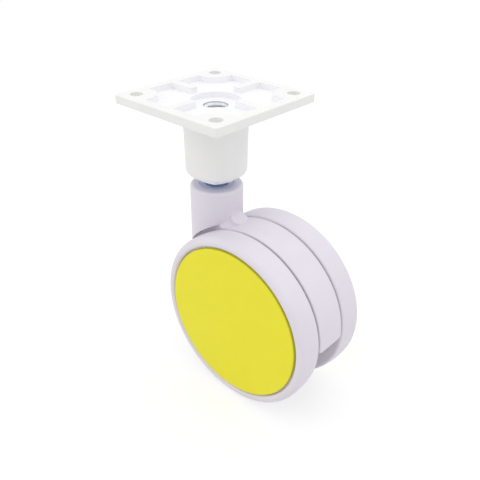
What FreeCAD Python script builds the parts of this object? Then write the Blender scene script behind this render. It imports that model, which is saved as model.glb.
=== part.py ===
import FreeCAD, Part
import math
import os

from FreeCAD import Vector

# Twin-wheel swivel castor on a square screw-on plate, in millimetres.
# The origin is the centre of the plate's upper face, on the swivel axis.
# +Z is up, the wheels trail towards +X, and the axle lies along Y.

# Screw-on plate
PLATE_SIDE = 55.0
PLATE_THICK = 3.4
PLATE_CORNER_R = 1.2
PLATE_EDGE_R = 0.4
SCREW_SPACING = 42.8
SCREW_HOLE_D = 5.2
PAD_WALL = 5.4
RIM_WIDTH = 4.2
POCKET_DEPTH = 2.3
POCKET_CORNER_R = 0.6
SPOKE_WIDTH = 3.8
SPOKE_SETBACK = 1.8
WELL_D = 20.0
WELL_DEPTH = 4.5

# Boss under the plate
BOSS_ROOT_D = 26.2
BOSS_END_D = 25.3
BOSS_DROP = 29.1
BOSS_ROOT_R = 0.8
BOSS_END_R = 2.2

# Threaded steel insert moulded into the boss
HEX_SIDES = 6
INSERT_ACROSS_FLATS = 14.0
INSERT_CORNER_ANGLE = 15.0
NOSE_LENGTH = 1.4
NOSE_D = 10.6
CORE_HOLE_D = 8.5
MOUTH_CHAMFER = 0.7

# Swivel stem and its clip
THREAD_LENGTH = 17.5
STEM_CHAMFER = 0.8
HEX_ACROSS_FLATS = 14.4
HEX_CORNER_ANGLE = -52.0
HEX_THICK = 2.6
HEX_CHAMFER = 0.3
STEM_D = 10.0
STEM_GROOVE_DEPTH = 0.8
STEM_TAIL = 2.5
STEM_CLIP_THICK = 1.0

# Neck of the housing, its bush and its thrust disc
NECK_GAP = 2.4
NECK_D = 22.2
NECK_TOP_R = 1.2
DISH_DEPTH = 1.2
BUSH_WALL = 0.95
BUSH_LENGTH = 15.0
BUSH_FLANGE_D = 14.2
BUSH_FLANGE_THICK = 1.0
THRUST_DISC_THICK = 1.5
SOCKET_WALL = 2.2
SOCKET_FLOOR = 2.2

# Hood, web and hub of the housing
NECK_RISE = 49.7
TRAIL = 25.4
HOOD_WIDTH = 14.3
HOOD_WALL = 2.2
HOOD_EDGE_R = 0.6
TAIL_DROP = 2.15
TAIL_CORNER_R = 1.6
WEB_THICK = 4.0
HUB_D = 15.0
RIB_THICK = 1.6
RIB_INSET = 1.0
HOOD_RIBS = 5
HOOD_RIB_FIRST_ANGLE = 20.0
HOOD_RIB_STEP_ANGLE = 35.0
NECK_BLEND_REAR_R = 4.5
NECK_BLEND_SIDE_R = 1.5
NECK_OVER_WHEEL = 1.4
GUSSET_D = 7.8
GUSSET_REACH = 3.7
GUSSET_SLOPE = 60.0
GUSSET_EDGE_R = 0.5

# Wheels
WHEEL_D = 76.4
WHEEL_WIDTH = 11.2
CROWN_R = 27.5
CROWN_FROM_EDGE = 6.3
SHOULDER_R = 2.6
LIP_R = 1.4
TREAD_EDGE_R = 1.0
WHEEL_WEB_THICK = 2.0
WHEEL_HUB_D = 14.0
WHEEL_RIBS = 8
WHEEL_RIB_INSET = 0.5
LEDGE_WIDTH = 1.4

# Flat cover discs of the wheels
COVER_THICK = 1.7
COVER_PROUD = 0.1
COVER_EDGE_R = 0.35
PEGS = 4
PEG_D = 4.0
PEG_CIRCLE_D = 44.0
PEG_INSET = 0.2

# Axle, its clips and the wheel bushes
AXLE_D = 6.0
AXLE_GROOVE_DEPTH = 0.5
AXLE_TAIL = 0.5
AXLE_END_GAP = 1.0
AXLE_CHAMFER = 0.3
AXLE_CLIP_THICK = 0.7
AXLE_CLIP_D = 11.0
WHEEL_BUSH_WALL = 1.2
WHEEL_BUSH_FLANGE_D = 12.0
WHEEL_BUSH_FLANGE_THICK = 0.6
CLIP_MOUTH_SHARE = 0.75

# Clearances, and the difference below which two lengths count as the same
RUN_FIT = 0.05
PRESS_GAP = 0.02
SEAT_GAP = 0.1
MOVE_GAP = 0.3
COVER_GAP = 0.6
SAME_LENGTH = 1e-4

# Heights down the swivel axis
plate_under = -PLATE_THICK
boss_end = plate_under - BOSS_DROP
hex_end = boss_end - HEX_THICK
neck_top = hex_end - NECK_GAP
dish_floor = neck_top - DISH_DEPTH
bush_end = dish_floor - BUSH_LENGTH
stem_clip_top = bush_end - MOVE_GAP
stem_clip_end = stem_clip_top - STEM_CLIP_THICK
stem_end = stem_clip_end - STEM_TAIL
thrust_top = stem_end - MOVE_GAP
bore_end = thrust_top - THRUST_DISC_THICK
axle_z = neck_top - NECK_RISE
hood_floor = axle_z - TAIL_DROP

# Radii about the swivel axis
neck_r = NECK_D / 2
stem_r = STEM_D / 2
bush_r = stem_r + RUN_FIT + BUSH_WALL
bore_r = bush_r + PRESS_GAP
stem_groove_r = stem_r - STEM_GROOVE_DEPTH

# Distances from the middle plane along the axle, on one side
hood_half = HOOD_WIDTH / 2
bush_flange_in = hood_half + MOVE_GAP
wheel_in = bush_flange_in + WHEEL_BUSH_FLANGE_THICK
wheel_out = wheel_in + WHEEL_WIDTH
crown_y = wheel_in + CROWN_FROM_EDGE
cover_face = wheel_out + COVER_PROUD
ledge_y = cover_face - COVER_THICK
wheel_web_out = wheel_in + WHEEL_WEB_THICK
axle_end = ledge_y - AXLE_END_GAP
axle_clip_out = axle_end - AXLE_TAIL
axle_clip_in = axle_clip_out - AXLE_CLIP_THICK
wheel_hub_end = axle_clip_in - MOVE_GAP

# Radii about the axle, with the crown and the shoulder as tangent arcs
wheel_r = WHEEL_D / 2
crown_centre_r = wheel_r - CROWN_R
hood_r = crown_centre_r + math.sqrt(CROWN_R ** 2 - CROWN_FROM_EDGE ** 2)
hood_inner_r = hood_r - HOOD_WALL
shoulder_y = wheel_out - SHOULDER_R
shoulder_turn = math.asin((shoulder_y - crown_y) / (CROWN_R - SHOULDER_R))
lip_r = crown_centre_r + (CROWN_R - SHOULDER_R) * math.cos(shoulder_turn)
cover_seat_r = lip_r - LIP_R
cover_r = cover_seat_r - COVER_GAP
axle_r = AXLE_D / 2
axle_groove_r = axle_r - AXLE_GROOVE_DEPTH
wheel_bush_r = axle_r + RUN_FIT + WHEEL_BUSH_WALL
neck_clear_r = wheel_r + NECK_OVER_WHEEL

Z_AXIS = Vector(0, 0, 1)
Y_AXIS = Vector(0, 1, 0)
AXLE_CENTRE = Vector(TRAIL, 0, axle_z)
SIDES = {"left": -1, "right": 1}


def upright(radius, low, high, x=0.0, y=0.0):
    """Upright cylinder whose seam faces -X."""
    body = Part.makeCylinder(radius, high - low, Vector(x, y, low), Z_AXIS)
    body.rotate(Vector(x, y, 0), Z_AXIS, 180)
    return body


def across(radius, inner, outer):
    """Cylinder about the axle, between two distances from the middle plane."""
    return Part.makeCylinder(radius, outer - inner, Vector(TRAIL, inner, axle_z), Y_AXIS)


def box(low, high):
    """Box between two corners."""
    size = [h - l for l, h in zip(low, high)]
    return Part.makeBox(*size, Vector(*low))


def turned_upright(profile):
    """Solid turned about the swivel axis from (radius, height) points."""
    points = [Vector(r, 0, z) for r, z in profile]
    face = Part.Face(Part.makePolygon(points + points[:1]))
    return face.revolve(Vector(0, 0, 0), Z_AXIS, 360)


def about_axle(y, r):
    """Point in the upright plane through the axle, at a distance y and a radius r."""
    return Vector(TRAIL, y, axle_z + r)


def turned_on_axle(edges):
    """Solid turned about the axle from the edges of a closed outline."""
    face = Part.Face(Part.Wire(edges))
    return face.revolve(AXLE_CENTRE, Y_AXIS, 360)


def polyline(points):
    """Straight edges through (y, r) points in the plane of about_axle."""
    places = [about_axle(y, r) for y, r in points]
    return [Part.makeLine(a, b) for a, b in zip(places, places[1:])]


def arc(centre, radius, start, end):
    """Arc edge about a (y, r) centre, between two angles from the +Y direction in degrees."""
    def place(angle):
        turn = math.radians(angle)
        return about_axle(centre[0] + radius * math.cos(turn), centre[1] + radius * math.sin(turn))
    return Part.Arc(place(start), place((start + end) / 2), place(end)).toShape()


def on_side(shape, side):
    """The shape as built for +Y, or its mirror image for -Y."""
    if side > 0:
        return shape
    return shape.mirror(Vector(0, 0, 0), Y_AXIS)


def circle_edges(shape, radius, axis, along):
    """Round edges of one radius whose centre lies at a given distance along an axis."""
    found = []
    for edge in shape.Edges:
        curve = edge.Curve
        if isinstance(curve, Part.Circle) and abs(curve.Radius - radius) < SAME_LENGTH:
            if abs(abs(curve.Center.dot(axis)) - abs(along)) < SAME_LENGTH:
                found.append(edge)
    return found


def open_ring(outer, inner, low, high):
    """Upright snap ring with a mouth that faces -X."""
    ring = upright(outer, low, high).cut(upright(inner, low, high))
    mouth = inner * CLIP_MOUTH_SHARE
    return ring.cut(box((-2 * outer, -mouth, low), (0, mouth, high)))


def corners(spacing):
    """The four corners of a square pattern."""
    half = spacing / 2
    return [(sx * half, sy * half) for sx in (-1, 1) for sy in (-1, 1)]


def hex_bar(across_flats, corner_angle, low, high):
    """Upright bar with six flat sides."""
    corner_r = across_flats / math.sqrt(3)
    angles = [math.radians(corner_angle + 360 * i / HEX_SIDES) for i in range(HEX_SIDES + 1)]
    outline = [Vector(corner_r * math.cos(a), corner_r * math.sin(a), low) for a in angles]
    return Part.Face(Part.makePolygon(outline)).extrude(Vector(0, 0, high - low))


def insert_blank():
    """Outside of the threaded insert: a hexagon with a turned nose at each end."""
    nose = upright(NOSE_D / 2, boss_end, -WELL_DEPTH)
    return nose.fuse(hex_bar(
        INSERT_ACROSS_FLATS, INSERT_CORNER_ANGLE, boss_end + NOSE_LENGTH, -WELL_DEPTH - NOSE_LENGTH))


def threaded_insert():
    """Steel insert with its core hole and a chamfer at both mouths."""
    core = CORE_HOLE_D / 2
    mouth = core + MOUTH_CHAMFER
    hole = turned_upright([
        (0, boss_end), (mouth, boss_end), (core, boss_end + MOUTH_CHAMFER),
        (core, -WELL_DEPTH - MOUTH_CHAMFER), (mouth, -WELL_DEPTH), (0, -WELL_DEPTH)])
    return insert_blank().cut(hole)


def plate_pocket():
    """Shallow pocket in the upper face, round the screw pads and the four spokes."""
    half = PLATE_SIDE / 2 - RIM_WIDTH
    pocket = box((-half, -half, -POCKET_DEPTH), (half, half, 0))
    pad_r = SCREW_HOLE_D / 2 + PAD_WALL
    for x, y in corners(SCREW_SPACING):
        pocket = pocket.cut(upright(pad_r, -POCKET_DEPTH, 0, x, y))
    spoke = box((WELL_D / 2 + SPOKE_SETBACK, -SPOKE_WIDTH / 2, -POCKET_DEPTH), (half, SPOKE_WIDTH / 2, 0))
    for turn in range(4):
        arm = spoke.copy()
        arm.rotate(Vector(0, 0, 0), Z_AXIS, 90 * turn)
        pocket = pocket.cut(arm)
    posts = [e for e in pocket.Edges if abs(e.Vertexes[0].Z - e.Vertexes[-1].Z) > POCKET_DEPTH / 2]
    return pocket.makeFillet(POCKET_CORNER_R, posts)


def top_plate():
    """Square plate and its tapered boss, moulded in one piece round the insert."""
    half = PLATE_SIDE / 2
    slab = box((-half, -half, plate_under), (half, half, 0))
    posts = [e for e in slab.Edges if abs(e.Vertexes[0].Z - e.Vertexes[1].Z) > PLATE_EDGE_R]
    slab = slab.makeFillet(PLATE_CORNER_R, posts)
    slab = slab.makeFillet(PLATE_EDGE_R, [e for e in slab.Edges if abs(e.CenterOfMass.z) < SAME_LENGTH])
    boss = Part.makeCone(BOSS_ROOT_D / 2, BOSS_END_D / 2, BOSS_DROP, Vector(0, 0, plate_under), -Z_AXIS)
    boss = boss.makeFillet(BOSS_END_R, circle_edges(boss, BOSS_END_D / 2, Z_AXIS, boss_end))
    plate = slab.fuse(boss).removeSplitter()
    plate = plate.makeFillet(BOSS_ROOT_R, circle_edges(plate, BOSS_ROOT_D / 2, Z_AXIS, plate_under))
    plate = plate.cut(plate_pocket())
    plate = plate.cut(upright(WELL_D / 2, -WELL_DEPTH, 0))
    for x, y in corners(SCREW_SPACING):
        plate = plate.cut(upright(SCREW_HOLE_D / 2, plate_under, 0, x, y))
    return plate.cut(insert_blank())


def stem_hexagon():
    """Hexagon on the stem, for the spanner, with its lower corners turned off."""
    flat_r = HEX_ACROSS_FLATS / 2
    corner_r = HEX_ACROSS_FLATS / math.sqrt(3)
    turned = turned_upright([
        (0, hex_end), (flat_r - HEX_CHAMFER, hex_end), (corner_r, hex_end + HEX_CHAMFER),
        (corner_r, boss_end), (0, boss_end)])
    return hex_bar(HEX_ACROSS_FLATS, HEX_CORNER_ANGLE, hex_end, boss_end).common(turned)


def swivel_stem():
    """Steel stem: thread core, hexagon, journal, clip groove and tail."""
    thread_r = CORE_HOLE_D / 2 - RUN_FIT
    thread_top = boss_end + THREAD_LENGTH
    groove_top = stem_clip_top + RUN_FIT
    groove_end = stem_clip_end - RUN_FIT
    bar = turned_upright([
        (0, thread_top), (thread_r - STEM_CHAMFER, thread_top), (thread_r, thread_top - STEM_CHAMFER),
        (thread_r, boss_end), (stem_r, boss_end), (stem_r, groove_top), (stem_groove_r, groove_top),
        (stem_groove_r, groove_end), (stem_r, groove_end), (stem_r, stem_end + STEM_CHAMFER),
        (stem_r - STEM_CHAMFER, stem_end), (0, stem_end)])
    return bar.fuse(stem_hexagon()).removeSplitter()


def stem_clip():
    """Snap ring in the stem's groove, under the lower end of the bush."""
    return open_ring(bore_r - MOVE_GAP, stem_groove_r + RUN_FIT, stem_clip_end, stem_clip_top)


def swivel_bush():
    """Flanged sleeve pressed into the neck, in which the stem turns."""
    hole = stem_r + RUN_FIT
    flange_top = dish_floor + BUSH_FLANGE_THICK
    return turned_upright([
        (hole, bush_end), (bush_r, bush_end), (bush_r, dish_floor),
        (BUSH_FLANGE_D / 2, dish_floor), (BUSH_FLANGE_D / 2, flange_top), (hole, flange_top)])


def thrust_disc():
    """Hard disc at the bottom of the bore, which carries the end of the stem."""
    return upright(bush_r, bore_end, thrust_top)


def hood_block():
    """Upper half of the body between the wheels, with rounded outer edges."""
    disc = across(hood_r, -hood_half, hood_half)
    reach = 2 * hood_r
    below = box((TRAIL - reach, -HOOD_WIDTH, axle_z - reach), (TRAIL + reach, HOOD_WIDTH, hood_floor))
    block = disc.cut(below)
    floor_sides = []
    for edge in block.Edges:
        span = edge.BoundBox
        level = abs(span.ZMax - hood_floor) < SAME_LENGTH and abs(span.ZMin - hood_floor) < SAME_LENGTH
        if level and span.XLength > hood_r:
            floor_sides.append(edge)
    block = block.makeFillet(TAIL_CORNER_R, floor_sides)
    return block.makeFillet(HOOD_EDGE_R, circle_edges(block, hood_r, Y_AXIS, hood_half))


def neck_blend():
    """Filler that rounds the corner between the neck's rear and the hood's top, most at its middle."""
    slab = box((0, 0, axle_z), (TRAIL, hood_half, neck_top))
    neck = upright(neck_r, axle_z, neck_top).common(slab)
    hood = across(hood_r, 0, hood_half).common(slab)
    plain = neck.fuse(hood).removeSplitter()
    seam = []
    for edge in plain.Edges:
        middle = edge.valueAt((edge.FirstParameter + edge.LastParameter) / 2)
        from_swivel = math.hypot(middle.x, middle.y)
        from_axle = math.hypot(middle.x - TRAIL, middle.z - axle_z)
        if abs(from_swivel - neck_r) < SAME_LENGTH and abs(from_axle - hood_r) < SAME_LENGTH:
            seam.append(edge)
    half = plain.makeFillet(NECK_BLEND_REAR_R, NECK_BLEND_SIDE_R, seam).cut(plain)
    return half.fuse(on_side(half, -1))


def gusset():
    """Round sloping boss in the corner between the neck's rear and the hood's top."""
    slope = math.radians(GUSSET_SLOPE)
    outward = Vector(math.cos(slope), 0, math.sin(slope))
    rise = math.sqrt(hood_r ** 2 - (TRAIL - neck_r) ** 2)
    corner = Vector(neck_r, 0, axle_z + rise)
    root = corner - outward * GUSSET_D
    bar = Part.makeCylinder(GUSSET_D / 2, GUSSET_D + GUSSET_REACH, root, outward)
    tip = corner + outward * GUSSET_REACH
    circles = [e for e in bar.Edges if isinstance(e.Curve, Part.Circle)]
    ends = [e for e in circles if e.Curve.Center.distanceToPoint(tip) < SAME_LENGTH]
    return bar.makeFillet(GUSSET_EDGE_R, ends)


def hood_hollow(side):
    """Space under the hood on one side of the web, round the hub, the ribs and the stem's socket."""
    hollow = across(hood_inner_r, WEB_THICK / 2, wheel_in)
    hollow = hollow.cut(across(HUB_D / 2, 0, wheel_in))
    socket = upright(bore_r + SOCKET_WALL, bore_end - SOCKET_FLOOR, neck_top)
    hollow = hollow.cut(socket)
    rib_half = RIB_THICK / 2
    rib = box((TRAIL, 0, axle_z - rib_half), (TRAIL + hood_r, hood_half - RIB_INSET, axle_z + rib_half))
    for i in range(HOOD_RIBS):
        spoke = rib.copy()
        spoke.rotate(AXLE_CENTRE, Y_AXIS, -HOOD_RIB_FIRST_ANGLE - HOOD_RIB_STEP_ANGLE * i)
        hollow = hollow.cut(spoke)
    return on_side(hollow, side)


def housing():
    """Moulded housing: neck, hood, web, hub and ribs in one piece."""
    neck = upright(neck_r, axle_z, neck_top)
    neck = neck.makeFillet(NECK_TOP_R, circle_edges(neck, neck_r, Z_AXIS, neck_top))
    body = neck.fuse([hood_block(), across(HUB_D / 2, -hood_half, hood_half)])
    for filler in (neck_blend(), gusset()):
        body = body.fuse(filler)
    for side in SIDES.values():
        over_wheel = across(neck_clear_r, hood_half, wheel_out)
        body = body.cut(on_side(over_wheel, side))
        body = body.cut(hood_hollow(side))
    dish_r = BUSH_FLANGE_D / 2 + SEAT_GAP
    body = body.cut(upright(dish_r, dish_floor, neck_top))
    body = body.cut(upright(bore_r, bore_end, neck_top))
    body = body.cut(across(axle_r + PRESS_GAP, -wheel_out, wheel_out))
    return body.removeSplitter()


def axle():
    """Steel pin through the hub, with a clip groove near each end."""
    half = [
        (0, axle_r), (axle_clip_in - RUN_FIT, axle_r), (axle_clip_in - RUN_FIT, axle_groove_r),
        (axle_clip_out + RUN_FIT, axle_groove_r), (axle_clip_out + RUN_FIT, axle_r),
        (axle_end - AXLE_CHAMFER, axle_r), (axle_end, axle_r - AXLE_CHAMFER), (axle_end, 0)]
    other = [(-y, r) for y, r in reversed(half[1:])]
    outline = other + half
    return turned_on_axle(polyline(outline + outline[:1]))


def axle_clip(side):
    """Snap ring in one groove of the axle."""
    ring = open_ring(AXLE_CLIP_D / 2, axle_groove_r + RUN_FIT, axle_clip_in, axle_clip_out)
    ring.rotate(Vector(0, 0, 0), Vector(1, 0, 0), -90)
    ring.translate(AXLE_CENTRE)
    return on_side(ring, side)


def wheel_bush(side):
    """Flanged sleeve pressed into a wheel's hub, which runs on the axle."""
    hole = axle_r + RUN_FIT
    flange_r = WHEEL_BUSH_FLANGE_D / 2
    outline = [
        (bush_flange_in, hole), (bush_flange_in, flange_r), (wheel_in, flange_r),
        (wheel_in, wheel_bush_r), (wheel_hub_end, wheel_bush_r), (wheel_hub_end, hole)]
    return on_side(turned_on_axle(polyline(outline + outline[:1])), side)


def peg_places():
    """Centres of the cover's pegs, midway between the ribs of a wheel."""
    step = 2 * math.pi / PEGS
    first = math.pi / WHEEL_RIBS
    reach = PEG_CIRCLE_D / 2
    angles = [first + step * i for i in range(PEGS)]
    return [(TRAIL + reach * math.cos(a), axle_z + reach * math.sin(a)) for a in angles]


def peg(radius, inner, outer, place):
    """Round bar along the axle's direction, at one of the peg places."""
    return Part.makeCylinder(radius, outer - inner, Vector(place[0], inner, place[1]), Y_AXIS)


def wheel(side):
    """Moulded wheel: crowned rim, web at the inner face, hub and ribs, and a seat for the cover."""
    bore = wheel_bush_r + PRESS_GAP
    hub = WHEEL_HUB_D / 2
    inside = cover_seat_r - LEDGE_WIDTH
    crown_angle = math.degrees(math.acos(-CROWN_FROM_EDGE / CROWN_R))
    shoulder_angle = 90 - math.degrees(shoulder_turn)
    inner = polyline([
        (wheel_out - LIP_R, cover_seat_r), (ledge_y, cover_seat_r), (ledge_y, inside),
        (wheel_web_out, inside), (wheel_web_out, hub), (wheel_hub_end, hub), (wheel_hub_end, bore),
        (wheel_in, bore), (wheel_in, hood_r)])
    crown = arc((crown_y, crown_centre_r), CROWN_R, crown_angle, shoulder_angle)
    shoulder = arc((shoulder_y, lip_r), SHOULDER_R, shoulder_angle, 0)
    lip = arc((wheel_out - LIP_R, lip_r), LIP_R, 0, -90)
    body = turned_on_axle(inner + [crown, shoulder, lip])
    body = body.makeFillet(TREAD_EDGE_R, circle_edges(body, hood_r, Y_AXIS, wheel_in))
    rib_end = wheel_hub_end - WHEEL_RIB_INSET
    low = (TRAIL + (bore + hub) / 2, wheel_in, axle_z - RIB_THICK / 2)
    high = (TRAIL + (inside + hood_r) / 2, rib_end, axle_z + RIB_THICK / 2)
    for i in range(WHEEL_RIBS):
        rib = box(low, high)
        rib.rotate(AXLE_CENTRE, Y_AXIS, 360 * i / WHEEL_RIBS)
        body = body.fuse(rib)
    for place in peg_places():
        body = body.cut(peg(PEG_D / 2 + RUN_FIT, wheel_in, wheel_web_out, place))
    return on_side(body.removeSplitter(), side)


def wheel_cover(side):
    """Flat cover disc with pegs that press into the wheel's web."""
    disc = across(cover_r, ledge_y, cover_face)
    disc = disc.makeFillet(COVER_EDGE_R, circle_edges(disc, cover_r, Y_AXIS, cover_face))
    for place in peg_places():
        disc = disc.fuse(peg(PEG_D / 2, wheel_in + PEG_INSET, ledge_y, place))
    return on_side(disc.removeSplitter(), side)


def pieces():
    """Every separate piece by its name."""
    parts = {
        "top_plate": top_plate(),
        "threaded_insert": threaded_insert(),
        "swivel_stem": swivel_stem(),
        "stem_clip": stem_clip(),
        "housing": housing(),
        "swivel_bush": swivel_bush(),
        "thrust_disc": thrust_disc(),
        "axle": axle(),
    }
    for name, side in SIDES.items():
        parts["axle_clip_" + name] = axle_clip(side)
        parts["wheel_" + name] = wheel(side)
        parts["wheel_bush_" + name] = wheel_bush(side)
        parts["wheel_cover_" + name] = wheel_cover(side)
    return parts


os.makedirs("parts", exist_ok=True)
for name, shape in pieces().items():
    solids = shape.Solids
    print(name, "solids", len(solids), "valid", shape.isValid(), "volume", round(shape.Volume, 1))
    body = solids[0] if len(solids) == 1 else shape
    body.exportStep("parts/" + name + ".step")
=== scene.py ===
"""Looks of a twin-wheel swivel castor, dressed around its packed construction.

Lengths are in metres, in the frame of the construction: the origin is the centre of the plate's upper
face, +Z is up, the wheels trail towards +X and the axle lies along Y.
"""

from __future__ import annotations

import logging
import math
from collections.abc import Callable, Sequence
from dataclasses import dataclass, field
from enum import Enum

import bpy
from mathutils import Matrix, Vector


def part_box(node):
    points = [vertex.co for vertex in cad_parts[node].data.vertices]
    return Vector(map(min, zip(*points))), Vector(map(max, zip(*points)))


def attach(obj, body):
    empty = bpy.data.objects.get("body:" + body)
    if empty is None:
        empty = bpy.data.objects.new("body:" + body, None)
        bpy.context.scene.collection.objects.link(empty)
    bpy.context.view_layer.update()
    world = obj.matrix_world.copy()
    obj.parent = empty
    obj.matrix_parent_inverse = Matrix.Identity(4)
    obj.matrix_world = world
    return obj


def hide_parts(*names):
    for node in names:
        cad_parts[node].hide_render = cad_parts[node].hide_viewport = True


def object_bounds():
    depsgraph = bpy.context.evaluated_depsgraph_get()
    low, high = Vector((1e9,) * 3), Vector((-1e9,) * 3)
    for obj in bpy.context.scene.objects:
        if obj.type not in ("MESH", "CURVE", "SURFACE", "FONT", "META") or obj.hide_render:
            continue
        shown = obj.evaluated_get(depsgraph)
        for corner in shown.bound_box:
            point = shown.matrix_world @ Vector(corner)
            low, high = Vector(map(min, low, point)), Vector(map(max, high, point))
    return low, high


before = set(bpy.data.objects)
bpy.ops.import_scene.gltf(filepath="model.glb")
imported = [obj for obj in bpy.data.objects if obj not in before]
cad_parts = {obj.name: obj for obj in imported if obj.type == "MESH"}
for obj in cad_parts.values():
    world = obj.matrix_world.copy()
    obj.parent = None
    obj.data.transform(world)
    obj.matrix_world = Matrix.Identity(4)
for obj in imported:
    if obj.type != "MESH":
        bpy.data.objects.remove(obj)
CAD_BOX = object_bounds()

log = logging.getLogger("castor")

MM = 0.001
THREAD_PITCH = 1.5 * MM
SHARP_ANGLE = math.radians(30)
Colour = tuple[float, float, float]
Ring = Callable[[float], tuple[float, float]]


class Side(Enum):
    """The two sides of the hood, by the name that the pieces there carry."""

    LEFT = "left"
    RIGHT = "right"

    def node(self, stem: str) -> str:
        """Name of the node of that kind on this side."""
        return f"{stem}_{self.value}"


class TurnAxis(Enum):
    """The axis that a piece is round about."""

    SWIVEL = "Z"
    AXLE = "Y"

    def across(self) -> Colour:
        """Weights that keep only what lies across the axis."""
        return (1.0, 1.0, 0.0) if self is TurnAxis.SWIVEL else (1.0, 0.0, 1.0)


class Graph:
    """The node tree of one material, with short calls to add nodes and to join them."""

    NOISE_LOW = 0.3
    NOISE_HIGH = 0.7
    WAVE_RATE = 20.0

    def __init__(self, tree: bpy.types.NodeTree) -> None:
        """Empty the tree and keep it."""
        self.tree = tree
        self.tree.nodes.clear()

    def add(self, kind: str, **settings: object) -> bpy.types.Node:
        """Add a node.

        Args:
            kind: The node's type name.
            **settings: Properties to set on the node.

        Returns:
            The new node.
        """
        node = self.tree.nodes.new(kind)
        for key, value in settings.items():
            setattr(node, key, value)
        return node

    def join(self, source: bpy.types.NodeSocket, target: bpy.types.NodeSocket) -> None:
        """Link an output to an input."""
        self.tree.links.new(source, target)

    def noise(self, size: float, detail: float) -> bpy.types.NodeSocket:
        """Noise over the piece's own coordinates.

        Args:
            size: Spacing of the noise's features.
            detail: Number of finer layers in it.

        Returns:
            The noise as a factor, about 0.5 on average.
        """
        place = self.add("ShaderNodeTexCoord")
        noise = self.add("ShaderNodeTexNoise")
        noise.inputs["Scale"].default_value = 1.0 / size
        noise.inputs["Detail"].default_value = detail
        self.join(place.outputs["Object"], noise.inputs["Vector"])
        return noise.outputs["Fac"]

    def spread(self, factor: bpy.types.NodeSocket, low: float, high: float) -> bpy.types.NodeSocket:
        """Spread the middle of a noise over a range.

        Args:
            factor: The noise.
            low: Value where the noise is low.
            high: Value where the noise is high.

        Returns:
            The value in that range.
        """
        ramp = self.add("ShaderNodeMapRange", interpolation_type="SMOOTHSTEP")
        ramp.inputs["From Min"].default_value = self.NOISE_LOW
        ramp.inputs["From Max"].default_value = self.NOISE_HIGH
        ramp.inputs["To Min"].default_value = low
        ramp.inputs["To Max"].default_value = high
        self.join(factor, ramp.inputs["Value"])
        return ramp.outputs["Result"]

    def rise(self, value: bpy.types.NodeSocket, start: float, end: float) -> bpy.types.NodeSocket:
        """Share that passes smoothly from 0 to 1.

        Args:
            value: The measure that it follows.
            start: Measure at which it is 0.
            end: Measure at which it is 1, which may be the smaller one.

        Returns:
            The share.
        """
        low, high = min(start, end), max(start, end)
        ramp = self.add("ShaderNodeMapRange", interpolation_type="SMOOTHSTEP")
        ramp.inputs["From Min"].default_value = low
        ramp.inputs["From Max"].default_value = high
        ramp.inputs["To Min"].default_value = 0.0 if start < end else 1.0
        ramp.inputs["To Max"].default_value = 1.0 if start < end else 0.0
        self.join(value, ramp.inputs["Value"])
        return ramp.outputs["Result"]

    def product(self, *shares: bpy.types.NodeSocket) -> bpy.types.NodeSocket:
        """Several shares multiplied together.

        Args:
            *shares: The shares.

        Returns:
            Their product.
        """
        whole = shares[0]
        for share in shares[1:]:
            times = self.add("ShaderNodeMath", operation="MULTIPLY")
            self.join(whole, times.inputs[0])
            self.join(share, times.inputs[1])
            whole = times.outputs["Value"]
        return whole

    def height(self) -> bpy.types.NodeSocket:
        """Height of the shaded point.

        Returns:
            The height above the plate's upper face.
        """
        parts = self.add("ShaderNodeSeparateXYZ")
        self.join(self.add("ShaderNodeTexCoord").outputs["Object"], parts.inputs["Vector"])
        return parts.outputs["Z"]

    def radius(self, axis: TurnAxis, centre: Vector) -> bpy.types.NodeSocket:
        """Distance of the shaded point from an axis.

        Args:
            axis: The axis.
            centre: A point on it.

        Returns:
            The distance.
        """
        offset = self.add("ShaderNodeVectorMath", operation="SUBTRACT")
        offset.inputs[1].default_value = centre
        self.join(self.add("ShaderNodeTexCoord").outputs["Object"], offset.inputs[0])
        flat = self.add("ShaderNodeVectorMath", operation="MULTIPLY")
        flat.inputs[1].default_value = axis.across()
        self.join(offset.outputs["Vector"], flat.inputs[0])
        length = self.add("ShaderNodeVectorMath", operation="LENGTH")
        self.join(flat.outputs["Vector"], length.inputs[0])
        return length.outputs["Value"]

    def between(
        self, factor: bpy.types.NodeSocket, first: Colour | bpy.types.NodeSocket, second: Colour,
    ) -> bpy.types.NodeSocket:
        """Blend two colours by a factor.

        Args:
            factor: 0 for the first colour, 1 for the second.
            first: Linear colour, or a socket that gives one.
            second: Linear colour.

        Returns:
            The blended colour.
        """
        mix = self.add("ShaderNodeMix", data_type="RGBA")
        inputs = {socket.name: socket for socket in mix.inputs if socket.enabled}
        if isinstance(first, bpy.types.NodeSocket):
            self.join(first, inputs["A"])
        else:
            inputs["A"].default_value = (*first, 1.0)
        inputs["B"].default_value = (*second, 1.0)
        self.join(factor, inputs["Factor"])
        return next(socket for socket in mix.outputs if socket.enabled)

    def bump(self, height: bpy.types.NodeSocket, depth: float) -> bpy.types.NodeSocket:
        """Surface normal over a fine relief.

        Args:
            height: Height of the relief, from 0 to 1.
            depth: Depth of the relief in metres.

        Returns:
            The normal.
        """
        bump = self.add("ShaderNodeBump")
        bump.inputs["Strength"].default_value = 1.0
        bump.inputs["Distance"].default_value = depth
        self.join(height, bump.inputs["Height"])
        return bump.outputs["Normal"]

    def seen_directly(self) -> bpy.types.NodeSocket:
        """Tell the rays that show a surface from those that only carry light.

        Returns:
            1 for rays from the camera and for mirrored or passed-on rays, 0 for the others.
        """
        path = self.add("ShaderNodeLightPath")
        either = self.add("ShaderNodeMath", operation="MAXIMUM")
        self.join(path.outputs["Is Camera Ray"], either.inputs[0])
        self.join(path.outputs["Is Glossy Ray"], either.inputs[1])
        every = self.add("ShaderNodeMath", operation="MAXIMUM")
        self.join(either.outputs[0], every.inputs[0])
        self.join(path.outputs["Is Transmission Ray"], every.inputs[1])
        return every.outputs[0]


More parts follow.
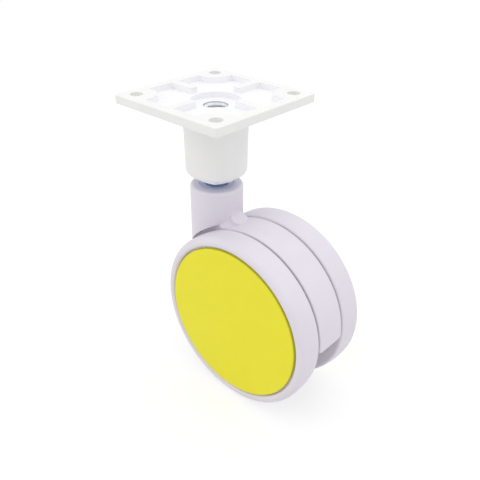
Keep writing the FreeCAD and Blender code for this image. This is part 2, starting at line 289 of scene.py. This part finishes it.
def new_material(name: str) -> tuple[bpy.types.Material, Graph]:
    """Make a material with an empty node tree.

    Args:
        name: The material's name.

    Returns:
        The material and its graph.
    """
    material = bpy.data.materials.new(name)
    material.use_nodes = True
    return material, Graph(material.node_tree)


@dataclass(frozen=True)
class RoundTint:
    """Another tint round the swivel axis between two heights, which fades from one radius to another."""

    colour: Colour
    full_radius: float
    end_radius: float
    low: float
    high: float
    edge: float = 0.2 * MM

    def over(self, graph: Graph, colour: bpy.types.NodeSocket) -> bpy.types.NodeSocket:
        """Lay the tint over a colour.

        Args:
            graph: The material's graph.
            colour: The surface's own colour.

        Returns:
            The colour with the tint on it.
        """
        height = graph.height()
        cover = graph.product(
            graph.rise(graph.radius(TurnAxis.SWIVEL, Vector()), self.end_radius, self.full_radius),
            graph.rise(height, self.low - self.edge, self.low),
            graph.rise(height, self.high + self.edge, self.high))
        return graph.between(cover, colour, self.colour)


@dataclass(frozen=True)
class PaintedGrooveShade:
    """Painted shade on a disc's outer wall, in the groove between the disc and the rim round it."""

    colour: Colour
    centre: Vector
    start_radius: float
    full_radius: float

    def over(self, graph: Graph, colour: bpy.types.NodeSocket) -> bpy.types.NodeSocket:
        """Lay the painted shade over a colour.

        Args:
            graph: The material's graph.
            colour: The surface's own colour.

        Returns:
            The colour with the dirt on it.
        """
        reach = graph.radius(TurnAxis.AXLE, self.centre)
        return graph.between(graph.rise(reach, self.start_radius, self.full_radius), colour, self.colour)


@dataclass(frozen=True)
class MouldedPlastic:
    """Plastic as it leaves the mould: faint flow patches, a fine spark-eroded grain and a satin surface."""

    name: str
    colour: Colour
    shade: Colour
    roughness: tuple[float, float]
    patch: float = 14 * MM
    grain: float = 0.28 * MM
    relief: float = 0.012 * MM
    tints: tuple[RoundTint | PaintedGrooveShade, ...] = ()

    def material(self) -> bpy.types.Material:
        """Make the finish.

        Returns:
            A new material.
        """
        material, graph = new_material(self.name)
        surface = graph.add("ShaderNodeBsdfPrincipled")
        patches = graph.spread(graph.noise(self.patch, detail=4.0), 0.0, 1.0)
        colour = graph.between(patches, self.shade, self.colour)
        for tint in self.tints:
            colour = tint.over(graph, colour)
        graph.join(colour, surface.inputs["Base Color"])
        speckle = graph.noise(self.grain, detail=2.0)
        graph.join(graph.spread(speckle, *self.roughness), surface.inputs["Roughness"])
        graph.join(graph.bump(speckle, self.relief), surface.inputs["Normal"])
        output = graph.add("ShaderNodeOutputMaterial")
        graph.join(surface.outputs["BSDF"], output.inputs["Surface"])
        return material


@dataclass(frozen=True)
class ZincSteel:
    """Turned steel with a bright zinc coat: fine tool rings and a cloudy blue-white tint."""

    name: str
    axis: TurnAxis
    colour: Colour = (0.72, 0.76, 0.84)
    shade: Colour = (0.65, 0.69, 0.77)
    roughness: tuple[float, float] = (0.2, 0.36)
    cloud: float = 3 * MM
    tool_feed: float = 0.24 * MM
    relief: float = 0.004 * MM
    tints: tuple[RoundTint, ...] = ()

    def material(self) -> bpy.types.Material:
        """Make the finish.

        Returns:
            A new material.
        """
        material, graph = new_material(self.name)
        surface = graph.add("ShaderNodeBsdfPrincipled")
        surface.inputs["Metallic"].default_value = 1.0
        clouds = graph.noise(self.cloud, detail=5.0)
        colour = graph.between(graph.spread(clouds, 0.0, 1.0), self.shade, self.colour)
        for tint in self.tints:
            colour = tint.over(graph, colour)
        graph.join(colour, surface.inputs["Base Color"])
        graph.join(graph.spread(clouds, *reversed(self.roughness)), surface.inputs["Roughness"])
        place = graph.add("ShaderNodeTexCoord")
        rings = graph.add("ShaderNodeTexWave", wave_type="BANDS", bands_direction=self.axis.value)
        rings.inputs["Scale"].default_value = 2 * math.pi / (Graph.WAVE_RATE * self.tool_feed)
        rings.inputs["Distortion"].default_value = 1.0
        graph.join(place.outputs["Object"], rings.inputs["Vector"])
        graph.join(graph.bump(rings.outputs["Fac"], self.relief), surface.inputs["Normal"])
        output = graph.add("ShaderNodeOutputMaterial")
        graph.join(surface.outputs["BSDF"], output.inputs["Surface"])
        return material


@dataclass(frozen=True)
class StagePaper:
    """White paper under the object, which shows as white and still keeps the object's shadow."""

    name: str = "stage_paper"
    bounce: float = 0.8
    shadow_share: float = 0.35
    glow: float = 0.68

    def material(self) -> bpy.types.Material:
        """Make the paper, clear from its underside so that the object can be seen from below.

        Returns:
            A new material.
        """
        material, graph = new_material(self.name)
        plain = graph.add("ShaderNodeBsdfDiffuse")
        plain.inputs["Color"].default_value = (*[self.bounce] * 3, 1.0)
        shaded = graph.add("ShaderNodeBsdfDiffuse")
        shaded.inputs["Color"].default_value = (*[self.shadow_share] * 3, 1.0)
        glow = graph.add("ShaderNodeEmission")
        glow.inputs["Strength"].default_value = self.glow
        seen = graph.add("ShaderNodeAddShader")
        graph.join(shaded.outputs["BSDF"], seen.inputs[0])
        graph.join(glow.outputs["Emission"], seen.inputs[1])
        front = graph.add("ShaderNodeMixShader")
        graph.join(graph.seen_directly(), front.inputs[0])
        graph.join(plain.outputs["BSDF"], front.inputs[1])
        graph.join(seen.outputs["Shader"], front.inputs[2])
        underside = graph.add("ShaderNodeBsdfTransparent")
        both = graph.add("ShaderNodeMixShader")
        graph.join(graph.add("ShaderNodeNewGeometry").outputs["Backfacing"], both.inputs[0])
        graph.join(front.outputs["Shader"], both.inputs[1])
        graph.join(underside.outputs["BSDF"], both.inputs[2])
        output = graph.add("ShaderNodeOutputMaterial")
        graph.join(both.outputs["Shader"], output.inputs["Surface"])
        return material


@dataclass(frozen=True)
class Palette:
    """Every finish on the castor, each made into a material once."""

    plate: bpy.types.Material
    housing: bpy.types.Material
    wheel: bpy.types.Material
    cover: bpy.types.Material
    bearing: bpy.types.Material
    insert_steel: bpy.types.Material
    thread_steel: bpy.types.Material
    stem_steel: bpy.types.Material
    axle_steel: bpy.types.Material

    @classmethod
    def mixed(cls) -> Palette:
        """Make the materials of all the finishes.

        Returns:
            The palette.
        """
        lilac = (0.77, 0.725, 0.8)
        lilac_shade = (0.745, 0.7, 0.775)
        # painted light: the plate's pockets and well are tinted a lighter, bluer white than the rest of the
        # plate
        pocket_light = cls.painted_recess_light(reach=27 * MM, depth=2.4 * MM)
        well_light = cls.painted_recess_light(reach=10.2 * MM, depth=4.6 * MM)
        # painted shade: the neck's top turns bluer and darker towards the stem, under the boss and hexagon
        neck_painted_shade = cls.shade_and_grease(
            (0.69, 0.73, 0.92), full_radius=5 * MM, end_radius=11 * MM, above=-1.2 * MM)
        # painted shade with some grease: a dark navy band on the stem's journal under the hexagon
        journal_shade_and_grease = cls.shade_and_grease(
            (0.28, 0.33, 0.45), full_radius=5.3 * MM, end_radius=6 * MM, above=0.45 * MM)
        return cls(
            plate=MouldedPlastic(
                "plate_white", colour=(0.875, 0.87, 0.865), shade=(0.85, 0.848, 0.845),
                roughness=(0.42, 0.54), tints=(pocket_light, well_light)).material(),
            housing=MouldedPlastic(
                "housing_lilac", colour=lilac, shade=lilac_shade,
                roughness=(0.42, 0.55), tints=(neck_painted_shade,)).material(),
            wheel=MouldedPlastic(
                "wheel_lilac", colour=lilac, shade=lilac_shade,
                roughness=(0.45, 0.58), patch=18 * MM).material(),
            cover=MouldedPlastic(
                "cover_lemon", colour=(0.855, 0.79, 0.014), shade=(0.84, 0.775, 0.012),
                roughness=(0.46, 0.6), patch=9 * MM, grain=0.4 * MM, relief=0.02 * MM,
                tints=(cls.painted_groove_shade(),)).material(),
            bearing=MouldedPlastic(
                "bearing_grey", colour=(0.69, 0.73, 0.88), shade=(0.65, 0.69, 0.84),
                roughness=(0.35, 0.45)).material(),
            # painted light: the insert's zinc and its thread's zinc are lighter copies of the stem's zinc,
            # so that the shaded bore and mouth show bright
            insert_steel=ZincSteel(
                "insert_zinc_painted_light", TurnAxis.SWIVEL, colour=(0.93, 0.95, 0.98), shade=(0.9, 0.92, 0.95),
                roughness=(0.4, 0.5), tints=(cls.painted_mouth_shade(),)).material(),
            thread_steel=ZincSteel(
                "thread_zinc_painted_light", TurnAxis.SWIVEL, colour=(0.97, 0.98, 0.99), shade=(0.95, 0.96, 0.97),
                roughness=(0.36, 0.46)).material(),
            stem_steel=ZincSteel("stem_zinc", TurnAxis.SWIVEL, tints=(journal_shade_and_grease,)).material(),
            axle_steel=ZincSteel("axle_zinc", TurnAxis.AXLE).material(),
        )

    @staticmethod
    def painted_recess_light(reach: float, depth: float) -> RoundTint:
        """Painted light in a recess of the plate's upper face: a lighter, bluer white that stands in for
        light reaching into the recess.

        Args:
            reach: Distance from the swivel axis to which the recess goes.
            depth: How deep it is.

        Returns:
            The tint.
        """
        fade = 0.3 * MM
        return RoundTint(
            colour=(0.905, 0.905, 0.93), full_radius=reach, end_radius=reach + fade, low=-depth, high=-fade)

    @staticmethod
    def shade_and_grease(colour: Colour, full_radius: float, end_radius: float, above: float) -> RoundTint:
        """Painted shade round the swivel axis, up to the underside of the stem's hexagon; on the stem's
        journal it also stands for grease crept out of the swivel bearing.

        Args:
            colour: The colour of the painted shade.
            full_radius: Distance from the swivel axis within which it covers fully.
            end_radius: Distance at which it ends.
            above: Its lower end, measured from the bearing's upper face.

        Returns:
            The tint.
        """
        flange_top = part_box("swivel_bush")[1].z
        hexagon_underside = flange_top + 2.45 * MM
        return RoundTint(colour, full_radius, end_radius, low=flange_top + above, high=hexagon_underside)

    @staticmethod
    def painted_mouth_shade() -> RoundTint:
        """Painted shade on the upper edge of the insert's chamfer: a thin darker ring at the mouth.

        Returns:
            The tint.
        """
        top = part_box("threaded_insert")[1].z
        # painted shade: a darker ring of steel at the top of the chamfer
        return RoundTint(
            colour=(0.55, 0.57, 0.61), full_radius=4.7 * MM, end_radius=4.65 * MM,
            low=top - 0.5 * MM, high=top - 0.03 * MM, edge=0.02 * MM)

    @staticmethod
    def painted_groove_shade() -> PaintedGrooveShade:
        """Painted shade on the outer walls of the covers: a darker olive in the groove round each cover.

        Returns:
            The tint.
        """
        low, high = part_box(Side.LEFT.node("wheel_cover"))
        reach = (high.x - low.x) / 2
        # painted shade: a darker olive on the cover's edge wall, in the groove round it
        return PaintedGrooveShade(
            colour=(0.66, 0.61, 0.024), centre=(low + high) / 2,
            start_radius=reach - 0.1 * MM, full_radius=reach - 0.02 * MM)


def dress(name: str, material: bpy.types.Material) -> None:
    """Give a node of the construction its finish.

    Args:
        name: The node's name.
        material: The finish.
    """
    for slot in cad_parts[name].material_slots:
        slot.material = material
    log.info("%s wears %s", name, material.name)


def link_mesh(name: str, mesh: bpy.types.Mesh) -> bpy.types.Object:
    """Put a mesh in the scene as an object at the origin.

    Args:
        name: The piece's name.
        mesh: Its mesh, in place.

    Returns:
        The object.
    """
    piece = bpy.data.objects.new(name, mesh)
    bpy.context.scene.collection.objects.link(piece)
    return piece


def ring_mesh(name: str, rings: Sequence[Ring], columns: int, first_angle: float) -> bpy.types.Mesh:
    """Close a row of rings round the swivel axis into one skin, the last ring joined to the first.

    Args:
        name: The mesh's name.
        rings: For each ring, the radius and height at an angle.
        columns: Number of points round each ring.
        first_angle: Angle of the first point.

    Returns:
        The mesh, smooth except at its sharp edges.
    """
    points: list[tuple[float, float, float]] = []
    for ring in rings:
        for column in range(columns):
            angle = first_angle + 2 * math.pi * column / columns
            radius, height = ring(angle)
            points.append((radius * math.cos(angle), radius * math.sin(angle), height))
    faces: list[tuple[int, int, int, int]] = []
    for row in range(len(rings)):
        here = row * columns
        there = (row + 1) % len(rings) * columns
        for column in range(columns):
            beside = (column + 1) % columns
            faces.append((here + column, there + column, there + beside, here + beside))
    mesh = bpy.data.meshes.new(name)
    mesh.from_pydata(points, [], faces)
    mesh.shade_smooth()
    mesh.set_sharp_from_angle(angle=SHARP_ANGLE)
    return mesh


@dataclass(frozen=True)
class ThreadRidge:
    """One helical ridge of a screw thread round the swivel axis, made by a tree of geometry nodes."""

    root_radius: float
    crest_radius: float
    root_width: float
    crest_width: float
    pitch: float
    low: float
    high: float
    start_angle: float = 0.0
    steps_per_turn: int = 72
    runout_turns: float = 0.6
    runout_share: float = 0.08

    def angle_at(self, height: float) -> float:
        """Angle at which the ridge passes a height."""
        return self.start_angle + 2 * math.pi * (height - self.low) / self.pitch

    def inputs(self) -> dict[str, float]:
        """Name the ridge's sizes for the tree.

        Returns:
            Each size by the name of its input. The rise is negative where the ridge stands outwards.
        """
        turns = (self.high - self.low) / self.pitch
        return {
            "Root radius": self.root_radius,
            "Inward rise": self.root_radius - self.crest_radius,
            "Root width": self.root_width,
            "Crest width": self.crest_width,
            "Turns": turns,
            "Low": self.low,
            "Height": self.high - self.low,
            "Start angle": self.start_angle,
            "Steps per turn": self.steps_per_turn,
            "Runout": self.runout_turns / turns,
            "Runout share": self.runout_share,
        }

    def tree(self, name: str, material: bpy.types.Material) -> bpy.types.NodeTree:
        """Build the tree: a helix, a tapered section carried along it, and the finish.

        Args:
            name: The tree's name.
            material: The finish.

        Returns:
            The tree, with one named input for each size.
        """
        tree = bpy.data.node_groups.new(name, "GeometryNodeTree")
        graph = Graph(tree)
        for label, value in self.inputs().items():
            kind = "NodeSocketInt" if isinstance(value, int) else "NodeSocketFloat"
            tree.interface.new_socket(label, in_out="INPUT", socket_type=kind)
        tree.interface.new_socket("Geometry", in_out="OUTPUT", socket_type="NodeSocketGeometry")
        sizes = graph.add("NodeGroupInput").outputs

        helix = graph.add("GeometryNodeCurveSpiral")
        graph.join(sizes["Steps per turn"], helix.inputs["Resolution"])
        graph.join(sizes["Turns"], helix.inputs["Rotations"])
        graph.join(sizes["Root radius"], helix.inputs["Start Radius"])
        graph.join(sizes["Root radius"], helix.inputs["End Radius"])
        graph.join(sizes["Height"], helix.inputs["Height"])
        place = graph.add("ShaderNodeCombineXYZ")
        graph.join(sizes["Low"], place.inputs["Z"])
        turn = graph.add("ShaderNodeCombineXYZ")
        graph.join(sizes["Start angle"], turn.inputs["Z"])
        placed = graph.add("GeometryNodeTransform")
        graph.join(helix.outputs["Curve"], placed.inputs["Geometry"])
        graph.join(place.outputs["Vector"], placed.inputs["Translation"])
        graph.join(turn.outputs["Vector"], placed.inputs["Rotation"])
        upright = graph.add("GeometryNodeSetCurveNormal", mode="Z_UP")
        graph.join(placed.outputs["Geometry"], upright.inputs["Curve"])

        tapered = graph.add("GeometryNodeSetCurveRadius")
        graph.join(upright.outputs["Curve"], tapered.inputs["Curve"])
        graph.join(self.end_taper(graph, sizes), tapered.inputs["Radius"])

        sweep = graph.add("GeometryNodeCurveToMesh")
        sweep.inputs["Fill Caps"].default_value = True
        graph.join(tapered.outputs["Curve"], sweep.inputs["Curve"])
        graph.join(self.section(graph, sizes), sweep.inputs["Profile Curve"])
        whole = graph.add("GeometryNodeRealizeInstances")
        graph.join(sweep.outputs["Mesh"], whole.inputs["Geometry"])
        finish = graph.add("GeometryNodeSetMaterial")
        finish.inputs["Material"].default_value = material
        graph.join(whole.outputs["Geometry"], finish.inputs["Geometry"])
        result = graph.add("NodeGroupOutput")
        graph.join(finish.outputs["Geometry"], result.inputs["Geometry"])
        return tree

    @staticmethod
    def end_taper(graph: Graph, sizes: bpy.types.NodeOutputs) -> bpy.types.NodeSocket:
        """Share of the full section along the helix, which falls off over the runout at both ends.

        Args:
            graph: The tree's graph.
            sizes: The tree's inputs.

        Returns:
            The share.
        """
        along = graph.add("GeometryNodeSplineParameter").outputs["Factor"]
        back = graph.add("ShaderNodeMath", operation="SUBTRACT")
        back.inputs[0].default_value = 1.0
        graph.join(along, back.inputs[1])
        nearest = graph.add("ShaderNodeMath", operation="MINIMUM")
        graph.join(along, nearest.inputs[0])
        graph.join(back.outputs[0], nearest.inputs[1])
        ramp = graph.add("ShaderNodeMapRange", interpolation_type="SMOOTHSTEP")
        graph.join(nearest.outputs[0], ramp.inputs["Value"])
        graph.join(sizes["Runout"], ramp.inputs["From Max"])
        graph.join(sizes["Runout share"], ramp.inputs["To Min"])
        return ramp.outputs["Result"]

    @staticmethod
    def section(graph: Graph, sizes: bpy.types.NodeOutputs) -> bpy.types.NodeSocket:
        """Four-sided section of the ridge, from its root to its crest.

        Args:
            graph: The tree's graph.
            sizes: The tree's inputs.

        Returns:
            The section as a closed curve.
        """
        section = graph.add("GeometryNodeCurvePrimitiveQuadrilateral", mode="POINTS")
        facing = graph.add("ShaderNodeMath", operation="SIGN")
        graph.join(sizes["Inward rise"], facing.inputs[0])
        corners = (("Root width", False, -0.5), ("Crest width", True, -0.5),
                   ("Crest width", True, 0.5), ("Root width", False, 0.5))
        for number, (width, on_crest, share) in enumerate(corners, 1):
            half = graph.add("ShaderNodeMath", operation="MULTIPLY")
            half.inputs[1].default_value = share
            graph.join(sizes[width], half.inputs[0])
            across = graph.add("ShaderNodeMath", operation="MULTIPLY")
            graph.join(half.outputs[0], across.inputs[0])
            graph.join(facing.outputs[0], across.inputs[1])
            corner = graph.add("ShaderNodeCombineXYZ")
            graph.join(across.outputs[0], corner.inputs["Y"])
            if on_crest:
                graph.join(sizes["Inward rise"], corner.inputs["X"])
            graph.join(corner.outputs["Vector"], section.inputs[f"Point {number}"])
        return section.outputs["Curve"]

    def build(self, name: str, material: bpy.types.Material) -> bpy.types.Object:
        """Run the tree and keep its result as a plain mesh.

        Args:
            name: The piece's name.
            material: The finish.

        Returns:
            The piece, at the origin.
        """
        tree = self.tree(name, material)
        carrier = link_mesh(name, bpy.data.meshes.new(name))
        modifier = carrier.modifiers.new("thread", "NODES")
        modifier.node_group = tree
        for label, value in self.inputs().items():
            modifier[tree.interface.items_tree[label].identifier] = value
        graph = bpy.context.evaluated_depsgraph_get()
        mesh = bpy.data.meshes.new_from_object(carrier.evaluated_get(graph))
        carrier.modifiers.remove(modifier)
        carrier.data = mesh
        return carrier


@dataclass
class ScrewPlate:
    """The square plate and its boss."""

    palette: Palette

    def build(self) -> None:
        """Dress the plate."""
        dress("top_plate", self.palette.plate)


@dataclass
class ThreadedInsert:
    """The steel insert in the boss, with a real thread in place of the plain core hole."""

    palette: Palette
    across_flats: float = 14 * MM
    corner_angle: float = math.radians(15)
    nose_length: float = 1.4 * MM
    nose_radius: float = 5.3 * MM
    root_radius: float = 4.95 * MM
    core_radius: float = 4.25 * MM
    root_width: float = 1.29 * MM
    crest_width: float = 0.375 * MM
    mouth: float = 1.45 * MM
    mouth_radius: float = 4.5 * MM
    collar: float = 0.25 * MM
    first_turn_angle: float = math.radians(132)
    columns: int = 96
    low: float = field(init=False)
    high: float = field(init=False)

    def __post_init__(self) -> None:
        """Take the insert's two ends from the construction."""
        lowest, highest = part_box("threaded_insert")
        self.low, self.high = lowest.z, highest.z

    def hex_radius(self, angle: float) -> float:
        """Distance from the axis to the hexagon's side.

        Args:
            angle: Angle about the axis.

        Returns:
            The distance at that angle.
        """
        sector = math.radians(60)
        off_middle = (angle - self.corner_angle) % sector - sector / 2
        return self.across_flats / 2 / math.cos(off_middle)

    def circle(self, radius: float, height: float) -> Ring:
        """A round ring of the skin."""
        return lambda angle: (radius, height)

    def hexagon(self, height: float) -> Ring:
        """A six-sided ring of the skin."""
        return lambda angle: (self.hex_radius(angle), height)

    def rings(self) -> list[Ring]:
        """Set out the skin, down the outside from the upper mouth and up the bore between its chamfers.

        Returns:
            The rings in that order.
        """
        shoulder = self.high - self.nose_length
        heel = self.low + self.nose_length
        upper_crest = self.high - self.mouth
        lower_crest = self.low + self.mouth
        return [
            self.circle(self.root_radius, self.high),
            self.circle(self.nose_radius, self.high),
            self.circle(self.nose_radius, shoulder),
            self.hexagon(shoulder),
            self.hexagon(heel),
            self.circle(self.nose_radius, heel),
            self.circle(self.nose_radius, self.low),
            self.circle(self.root_radius, self.low),
            self.circle(self.mouth_radius, lower_crest),
            self.circle(self.root_radius, lower_crest + self.collar),
            self.circle(self.root_radius, upper_crest - self.collar),
            self.circle(self.mouth_radius, upper_crest),
        ]

    def thread(self) -> ThreadRidge:
        """Set out the ridge in the bore, which reaches its full height at the first turn's angle.

        Returns:
            The ridge.
        """
        low, high = self.low + self.mouth, self.high - self.mouth
        turns = (high - low) / THREAD_PITCH - ThreadRidge.runout_turns
        return ThreadRidge(
            root_radius=self.root_radius, crest_radius=self.core_radius,
            root_width=self.root_width, crest_width=self.crest_width, pitch=THREAD_PITCH,
            low=low, high=high, start_angle=self.first_turn_angle - 2 * math.pi * turns)

    def build(self) -> None:
        """Make the insert's skin and its thread, and put them in the plain insert's place."""
        # painted light: the insert's skin wears the lighter copy of the zinc
        steel = self.palette.insert_steel
        mesh = ring_mesh("insert_body", self.rings(), self.columns, self.corner_angle)
        mesh.materials.append(steel)
        body = link_mesh("insert_body", mesh)
        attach(body, "plate")
        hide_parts("threaded_insert")
        # painted light: the thread wears a still lighter copy of the zinc
        thread = self.thread().build("insert_thread", self.palette.thread_steel)
        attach(thread, "plate")
        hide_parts("threaded_insert")
        for piece in (body, thread):
            log.info("%s has %d faces", piece.name, len(piece.data.polygons))


@dataclass
class SwivelStem:
    """The steel stem, its thread and the snap ring at its lower end."""

    palette: Palette
    mate: ThreadRidge
    root_radius: float = 4.18 * MM
    crest_radius: float = 4.82 * MM
    root_width: float = 1.0 * MM
    crest_width: float = 0.2 * MM

    def thread(self) -> ThreadRidge:
        """Set out the ridge from the insert's lower end to the stem's upper end.

        Returns:
            The ridge, half a turn from its mate in the insert.
        """
        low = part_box("threaded_insert")[0].z + THREAD_PITCH / 2
        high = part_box("swivel_stem")[1].z - THREAD_PITCH / 2
        return ThreadRidge(
            root_radius=self.root_radius, crest_radius=self.crest_radius,
            root_width=self.root_width, crest_width=self.crest_width, pitch=THREAD_PITCH,
            low=low, high=high, start_angle=self.mate.angle_at(low) + math.pi)

    def build(self) -> None:
        """Dress the stem and its ring, and add the thread."""
        dress("swivel_stem", self.palette.stem_steel)
        dress("stem_clip", self.palette.stem_steel)
        ridge = self.thread().build("stem_thread", self.palette.stem_steel)
        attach(ridge, "plate")
        log.info("%s has %d faces", ridge.name, len(ridge.data.polygons))


@dataclass
class HoodHousing:
    """The housing between the wheels, with the bearing pieces in its neck."""

    palette: Palette

    def build(self) -> None:
        """Dress the housing, its bush, its thrust disc and the axle set."""
        dress("housing", self.palette.housing)
        dress("swivel_bush", self.palette.bearing)
        dress("thrust_disc", self.palette.stem_steel)
        dress("axle", self.palette.axle_steel)
        for side in Side:
            dress(side.node("axle_clip"), self.palette.axle_steel)


@dataclass
class CoveredWheel:
    """One wheel with its bush and its flat cover."""

    palette: Palette
    side: Side

    def build(self) -> None:
        """Dress the wheel's three pieces."""
        dress(self.side.node("wheel"), self.palette.wheel)
        dress(self.side.node("wheel_bush"), self.palette.bearing)
        dress(self.side.node("wheel_cover"), self.palette.cover)


@dataclass(frozen=True)
class SoftBox:
    """A large square lamp, aimed at the middle of the castor."""

    name: str
    place: Colour
    side: float
    power: float

    def build(self, aim: Vector) -> None:
        """Hang the lamp.

        Args:
            aim: The point that it faces.
        """
        data = bpy.data.lights.new(self.name, "AREA")
        data.shape = "SQUARE"
        data.size = self.side
        data.energy = self.power
        lamp = bpy.data.objects.new(self.name, data)
        lamp.location = self.place
        lamp.rotation_euler = (aim - lamp.location).to_track_quat("-Z", "Y").to_euler()
        bpy.context.scene.collection.objects.link(lamp)


@dataclass
class Studio:
    """White paper, soft light from all round and a camera at the picture's angle."""

    floor_half: float = 3.0
    ambient: float = 0.87
    azimuth: float = math.radians(42.397)
    elevation: float = math.radians(30.667)
    roll: float = math.radians(0.459)
    distance: float = 262.12 * MM
    aim: Colour = (7.246 * MM, 6.706 * MM, -65.457 * MM)
    sensor: float = 36.0
    lens: float = 44.581
    boxes: tuple[SoftBox, ...] = (
        SoftBox("overhead_box", place=(0.1, -0.1, 0.85), side=0.9, power=1.8),
        SoftBox("left_box", place=(-0.55, -0.6, 0.3), side=0.5, power=0.7),
        SoftBox("right_box", place=(0.75, 0.35, 0.35), side=0.6, power=0.3),
        SoftBox("back_box", place=(-0.1, 0.75, 0.5), side=0.6, power=0.5),
    )

    def build(self) -> None:
        """Lay the paper, light it and place the camera."""
        self.lay_paper()
        self.light_world()
        for box in self.boxes:
            box.build(Vector(self.aim))
        self.place_camera()
        bpy.context.scene.view_settings.view_transform = "Standard"

    def lay_paper(self) -> None:
        """Lay the paper under the wheels."""
        half, level = self.floor_half, CAD_BOX[0].z
        corners = [(-half, -half, level), (half, -half, level), (half, half, level), (-half, half, level)]
        mesh = bpy.data.meshes.new("paper")
        mesh.from_pydata(corners, [], [(0, 1, 2, 3)])
        mesh.materials.append(StagePaper().material())
        link_mesh("paper", mesh)

    def light_world(self) -> None:
        """Fill the space with even light, and show it as white."""
        world = bpy.data.worlds.new("light_tent")
        bpy.context.scene.world = world
        world.use_nodes = True
        graph = Graph(world.node_tree)
        even = graph.add("ShaderNodeBackground")
        even.inputs["Color"].default_value = (1.0, 1.0, 1.0, 1.0)
        even.inputs["Strength"].default_value = self.ambient
        white = graph.add("ShaderNodeBackground")
        white.inputs["Color"].default_value = (1.0, 1.0, 1.0, 1.0)
        white.inputs["Strength"].default_value = 1.0
        mix = graph.add("ShaderNodeMixShader")
        graph.join(graph.seen_directly(), mix.inputs[0])
        graph.join(even.outputs["Background"], mix.inputs[1])
        graph.join(white.outputs["Background"], mix.inputs[2])
        output = graph.add("ShaderNodeOutputWorld")
        graph.join(mix.outputs["Shader"], output.inputs["Surface"])

    def place_camera(self) -> None:
        """Set the camera where the picture was taken from."""
        back = Vector((
            math.sin(self.azimuth) * math.cos(self.elevation),
            -math.cos(self.azimuth) * math.cos(self.elevation),
            math.sin(self.elevation)))
        level = Vector((math.cos(self.azimuth), math.sin(self.azimuth), 0.0))
        upward = back.cross(level)
        right = level * math.cos(self.roll) + upward * math.sin(self.roll)
        up = upward * math.cos(self.roll) - level * math.sin(self.roll)
        data = bpy.data.cameras.new("camera")
        data.sensor_width = self.sensor
        data.lens = self.lens
        data.clip_start = 10 * MM
        camera = bpy.data.objects.new("camera", data)
        turn = Matrix((right, up, back)).transposed().to_4x4()
        camera.matrix_world = Matrix.Translation(Vector(self.aim) + back * self.distance) @ turn
        bpy.context.scene.collection.objects.link(camera)
        bpy.context.scene.camera = camera


def main() -> None:
    """Build the castor's pieces in order, then the studio round them."""
    logging.basicConfig(level=logging.INFO, format="%(name)s: %(message)s")
    palette = Palette.mixed()
    insert = ThreadedInsert(palette)
    for assembly in (
        ScrewPlate(palette),
        insert,
        SwivelStem(palette, insert.thread()),
        HoodHousing(palette),
        CoveredWheel(palette, Side.LEFT),
        CoveredWheel(palette, Side.RIGHT),
    ):
        assembly.build()
    Studio().build()


if __name__ == "__main__":
    main()
